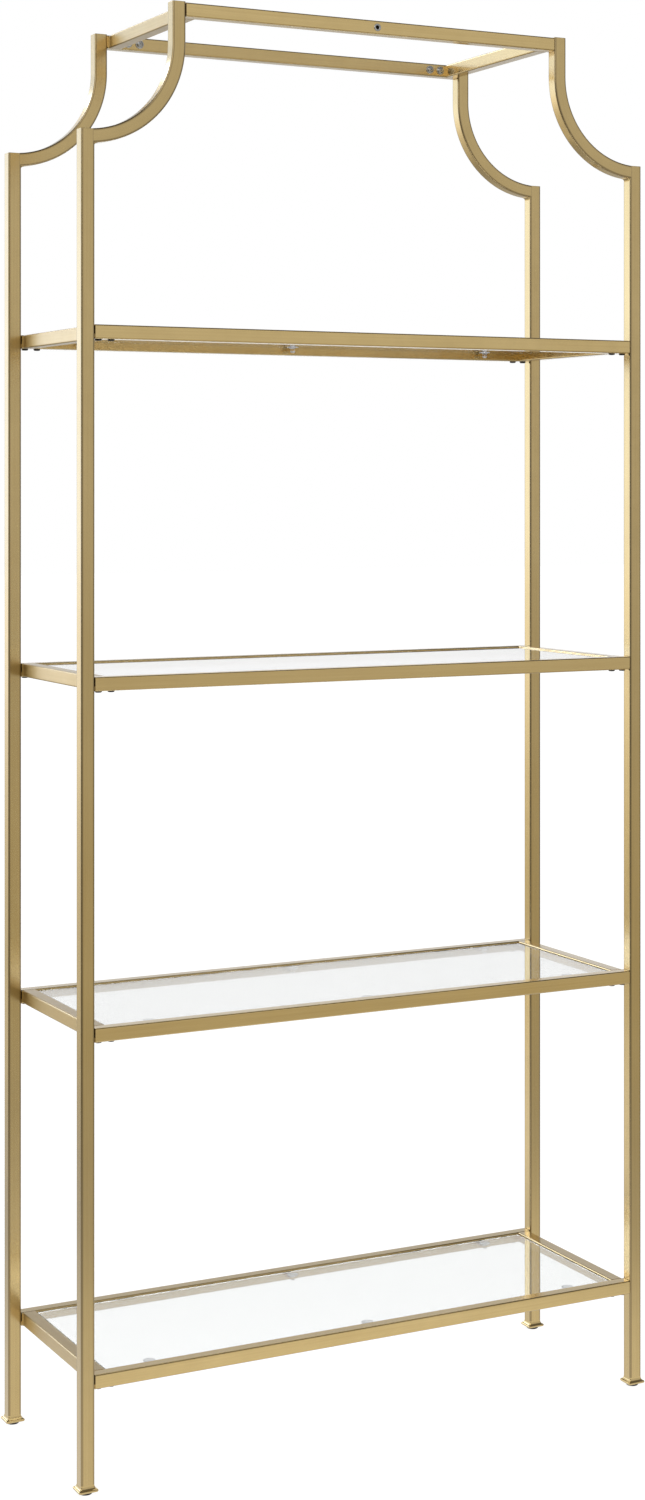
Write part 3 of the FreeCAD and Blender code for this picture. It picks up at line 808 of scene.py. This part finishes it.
def add_pads(finish):
    """Levelling pads on threaded stems."""
    for corner in CORNERS:
        node = "glide_" + corner
        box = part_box(node)
        top = box[1].z
        groove = STEM_RADIUS - THREAD_DEPTH
        z = PAD_OUTLINE[-1][1]
        outline = PAD_OUTLINE + [(STEM_RADIUS, z)]
        while z + THREAD_PITCH < top:
            outline.append((groove, z + THREAD_PITCH * GROOVE_SHARE))
            outline.append((STEM_RADIUS, z + THREAD_PITCH * CREST_SHARE))
            z += THREAD_PITCH
        outline.append((groove, top))
        centre = middle(box)
        shape = Shape()
        shape.turned(outline, (centre.x, centre.y, 0))
        add_piece("levelling_pad_" + corner, shape, finish, [node], "levelling_" + node)


# Button screws, in metres: radii and heights of the head, which ends at its seat, its socket and shank
HEAD_HEIGHT = 0.0022
HEAD_OUTLINE = [
    (0.0026, -HEAD_HEIGHT), (0.0037, -0.0020), (0.0043, -0.0014), (0.0045, -0.0006), (0.0045, 0.0),
]
SOCKET_HALF = 0.0015
SOCKET_DEPTH = 0.0013
SHANK_RADIUS = 0.00245
WASHER_BORE = 0.002744


def add_screw(shape, seat, axis, length):
    """A low button head with a hexagon socket, on a plain shank."""
    rings = [hexagon_ring(SOCKET_HALF, SOCKET_DEPTH - HEAD_HEIGHT), hexagon_ring(SOCKET_HALF, -HEAD_HEIGHT)]
    rings += [circle_ring(radius, height) for radius, height in HEAD_OUTLINE]
    rings += [circle_ring(SHANK_RADIUS, 0.0), circle_ring(SHANK_RADIUS, length)]
    shape.skin(set_rings(rings, seat, axis))


def add_washer(shape, centre, axis, radius, half_depth):
    """A flat ring with softened outer edges."""
    soft = half_depth / 2
    outline = [
        (WASHER_BORE, -half_depth), (radius - soft, -half_depth), (radius, -soft),
        (radius, soft), (radius - soft, half_depth), (WASHER_BORE, half_depth),
    ]
    shape.turned(outline, centre, axis, looped=True)


def add_shelf_screws(finish):
    """Screws up through the rails of each shelf."""
    for shelf in SHELVES:
        node = shelf + "_screws"
        shape = Shape()
        for box in solids(node):
            low, high = box
            centre = middle(box)
            seat = (centre.x, centre.y, low.z + HEAD_HEIGHT)
            add_screw(shape, seat, (0, 0, 1), high.z - low.z - HEAD_HEIGHT)
        add_piece(shelf + "_button_screws", shape, finish, [node])


def add_top_screws(finish):
    """Screws and washers on the inner side of the top frame."""
    shape = Shape()
    for box in solids("top_screws"):
        low, high = box
        centre = middle(box)
        outward = 1 if centre.y > 0 else -1
        depth = high.y - low.y
        if depth < HEAD_HEIGHT:
            add_washer(shape, centre, (0, outward, 0), half_width(box), depth / 2)
        else:
            inner = low.y if outward > 0 else high.y
            seat = (centre.x, inner + outward * HEAD_HEIGHT, centre.z)
            add_screw(shape, seat, (0, outward, 0), depth - HEAD_HEIGHT)
    add_piece("top_button_screws", shape, finish, ["top_screws"])


# Threaded inserts, in metres
BORE_RADIUS = 0.0025
BORE_CHAMFER_WIDTH, BORE_CHAMFER_DEPTH = 0.0005, 0.0006
BARREL_RADIUS = 0.004
FLANGE_HEIGHT = 0.0008
FLANGE_ROLL = 0.0003


def add_anchors(finish):
    """Threaded inserts with a thin rolled flange."""
    shape = Shape()
    for box in solids("wall_anchors"):
        low, high = box
        centre = middle(box)
        outward = 1 if centre.y > 0 else -1
        length = high.y - low.y
        flange = half_width(box)
        outline = [
            (BORE_RADIUS, BORE_CHAMFER_DEPTH), (BORE_RADIUS + BORE_CHAMFER_WIDTH, 0.0),
            (flange - FLANGE_ROLL, 0.0), (flange, FLANGE_ROLL), (flange, FLANGE_HEIGHT),
            (BARREL_RADIUS, FLANGE_HEIGHT), (BARREL_RADIUS, length), (BORE_RADIUS, length),
        ]
        face = (centre.x, high.y if outward > 0 else low.y, centre.z)
        shape.turned(outline, face, (0, -outward, 0), looped=True)
    add_piece("wall_inserts", shape, finish, ["wall_anchors"])


# Suction bumpers: the neck in metres, and shares of the radius and height of the plug and of the cup
NECK_RADIUS = 0.0034
PLUG_SHARES = ((0.55, 0.0), (0.8, 0.12), (1.02, 0.5), (1.02, 0.72))
CUP_SIDE_SHARE = 0.86
DISH_SHARES = ((1.0, 0.0), (0.93, 0.0), (0.6, 0.3), (0.15, 0.42))


def add_bumpers(finish):
    """Suction bumpers: a barbed plug under the tab, a neck in its hole and a dished cup under the glass."""
    for shelf in SHELVES:
        tab_low, tab_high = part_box(shelf + "_glass_tabs")
        shape = Shape()
        for box in solids(shelf + "_bumpers"):
            low, high = box
            cup = half_width(box)
            plug = tab_low.z - low.z
            rise = high.z - tab_high.z
            outline = [(NECK_RADIUS * wide, low.z + plug * up) for wide, up in PLUG_SHARES]
            outline += [(NECK_RADIUS, tab_low.z), (NECK_RADIUS, tab_high.z)]
            for angle in quarter(COVE_STEPS)[1:]:
                radius = NECK_RADIUS + (cup - NECK_RADIUS) * (1 - math.cos(angle))
                outline.append((radius, tab_high.z + rise * CUP_SIDE_SHARE * math.sin(angle)))
            outline += [(cup * wide, high.z - rise * down) for wide, down in DISH_SHARES]
            centre = middle(box)
            shape.turned(outline, (centre.x, centre.y, 0))
        add_piece(shelf + "_cups", shape, finish, [shelf + "_bumpers"])


# Panes, in metres, and shares of the bevel: how far drawn in, and how far from the face
PANE_CORNER = 0.003
PANE_BEVEL = 0.0007
BEVEL_SHARES = ((1.0, 0.0), (0.3, 0.3), (0.0, 1.0))


def add_panes(finish):
    """Panes with polished, softly rounded edges."""
    for shelf in SHELVES:
        node = shelf + "_glass"
        low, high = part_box(node)
        centre = (low + high) / 2
        half = (high - low) / 2
        edge = [(inset, low.z + PANE_BEVEL * up) for inset, up in BEVEL_SHARES]
        edge += [(inset, high.z - PANE_BEVEL * down) for inset, down in reversed(BEVEL_SHARES)]
        rings = []
        for inset, z in edge:
            draw = PANE_BEVEL * inset
            rings.append(level(rounded(half.x - draw, half.y - draw, PANE_CORNER - draw), centre, z))
        shape = Shape()
        shape.skin(rings)
        pane = add_piece(shelf + "_pane", shape, finish, [node], node + "_pane")
        pane.visible_shadow = False


# Plugs: shares of the rim's round, how far drawn in and how far under the top
PLUG_RIM_SHARES = ((0.0, 1.0), (1 / 3, 0.25), (1.0, 0.0))


def add_plugs(finish):
    """Plugs in the open tops of the posts and arches."""
    shape = Shape()
    for box in solids("tube_caps"):
        low, high = box
        centre = middle(box)
        half = half_width(box)
        corner = TUBE_CORNER - TUBE_WALL
        outline = [(half, low.z)]
        outline += [(half - RIM_ROUND * inset, high.z - RIM_ROUND * down) for inset, down in PLUG_RIM_SHARES]
        shape.skin([level(rounded(reach, reach, corner), centre, z) for reach, z in outline])
    add_piece("tube_plugs", shape, finish, ["tube_caps"])


def rail_nodes(side, levels):
    return [f"{row}_{side}_rail" for row in levels]


def dress_nodes(finishes):
    """Gives each node the finish of its slot, and the rails the gold of their side of the frame, some sides
    with painted light and shade.
    """
    rails = [
        ("front_rail", rail_nodes("front", LEVELS), "X", "Y", TUBE_ROUGHNESS, FRONT_RAIL_LIGHT_GAIN),
        ("back_rail", rail_nodes("back", LEVELS), "X", "Y", TUBE_ROUGHNESS, 1.0),
        ("right_rail", rail_nodes("right", LEVELS), "Y", "X", TUBE_ROUGHNESS, 1.0),
        ("left_rail", rail_nodes("left", SHELVES), "Y", "X", LEFT_ROUGHNESS, 1.0),
        ("top_left_rail", rail_nodes("left", ["top"]), "Y", "X", LEFT_ROUGHNESS, TOP_LEFT_SHADE_GAIN),
    ]
    own = {}
    for name, nodes, along, across, roughness, light_gain in rails:
        finish = rail_gold("satin_gold_" + name, nodes, along, across, roughness, light_gain)
        own.update(dict.fromkeys(nodes, finish))
    for part in frame["record"]["subparts"]:
        node = frame["nodes"][part["node"]]
        node.data.materials.clear()
        node.data.materials.append(own.get(part["node"], finishes[part["material_slot"]]))


finishes = {
    "gold_metal": plain_gold(), "clear_glass": clear_glass(), "clear_rubber": clear_vinyl(),
    "black_plastic": black_plastic(), "dark_steel": dark_steel(), "zinc_steel": zinc_steel(),
}
add_camera()
add_world()
add_floor()
add_lamp()
dress_nodes(finishes)
add_legs(leg_gold())
add_feet(finishes["gold_metal"])
add_pads(finishes["black_plastic"])
add_shelf_screws(finishes["dark_steel"])
add_top_screws(finishes["zinc_steel"])
add_anchors(finishes["zinc_steel"])
add_bumpers(finishes["clear_rubber"])
add_panes(finishes["clear_glass"])
add_plugs(finishes["gold_metal"])
bpy.context.scene.view_settings.view_transform = "Standard"
